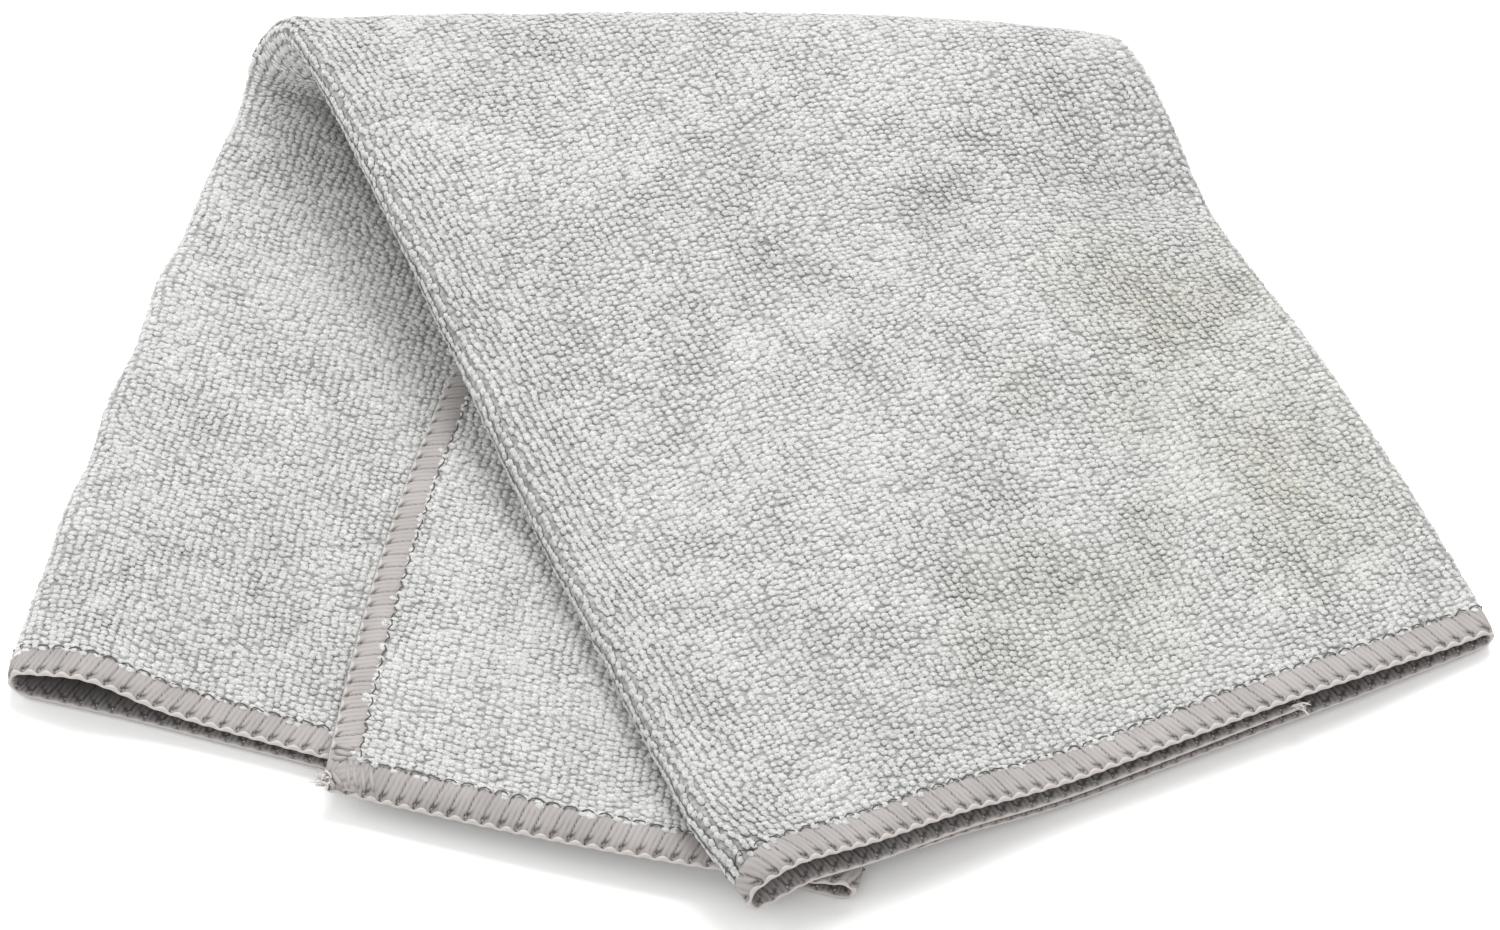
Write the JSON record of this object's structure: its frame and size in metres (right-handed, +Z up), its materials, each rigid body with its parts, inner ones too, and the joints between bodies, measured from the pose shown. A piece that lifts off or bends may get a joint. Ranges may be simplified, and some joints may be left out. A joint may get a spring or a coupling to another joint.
{
  "type": "microfibre cloth",
  "caption": "Square terry microfibre cleaning cloth, folded in three lengthwise and then in half, its two halves fanned apart and lying flat.",
  "frame": {"origin": "centre of the bounding box's bottom, on the surface the cloth lies on", "axes": "+Z up, +X to the right and -Y towards the open hems, as seen from the front"},
  "size_m": [0.2726, 0.2086, 0.0325],
  "materials": {
    "microfibre_terry": "short loop pile, matt"
  },
  "bodies": {
    "root": {"cloth": "microfibre_terry"}
  },
  "joints": []
}
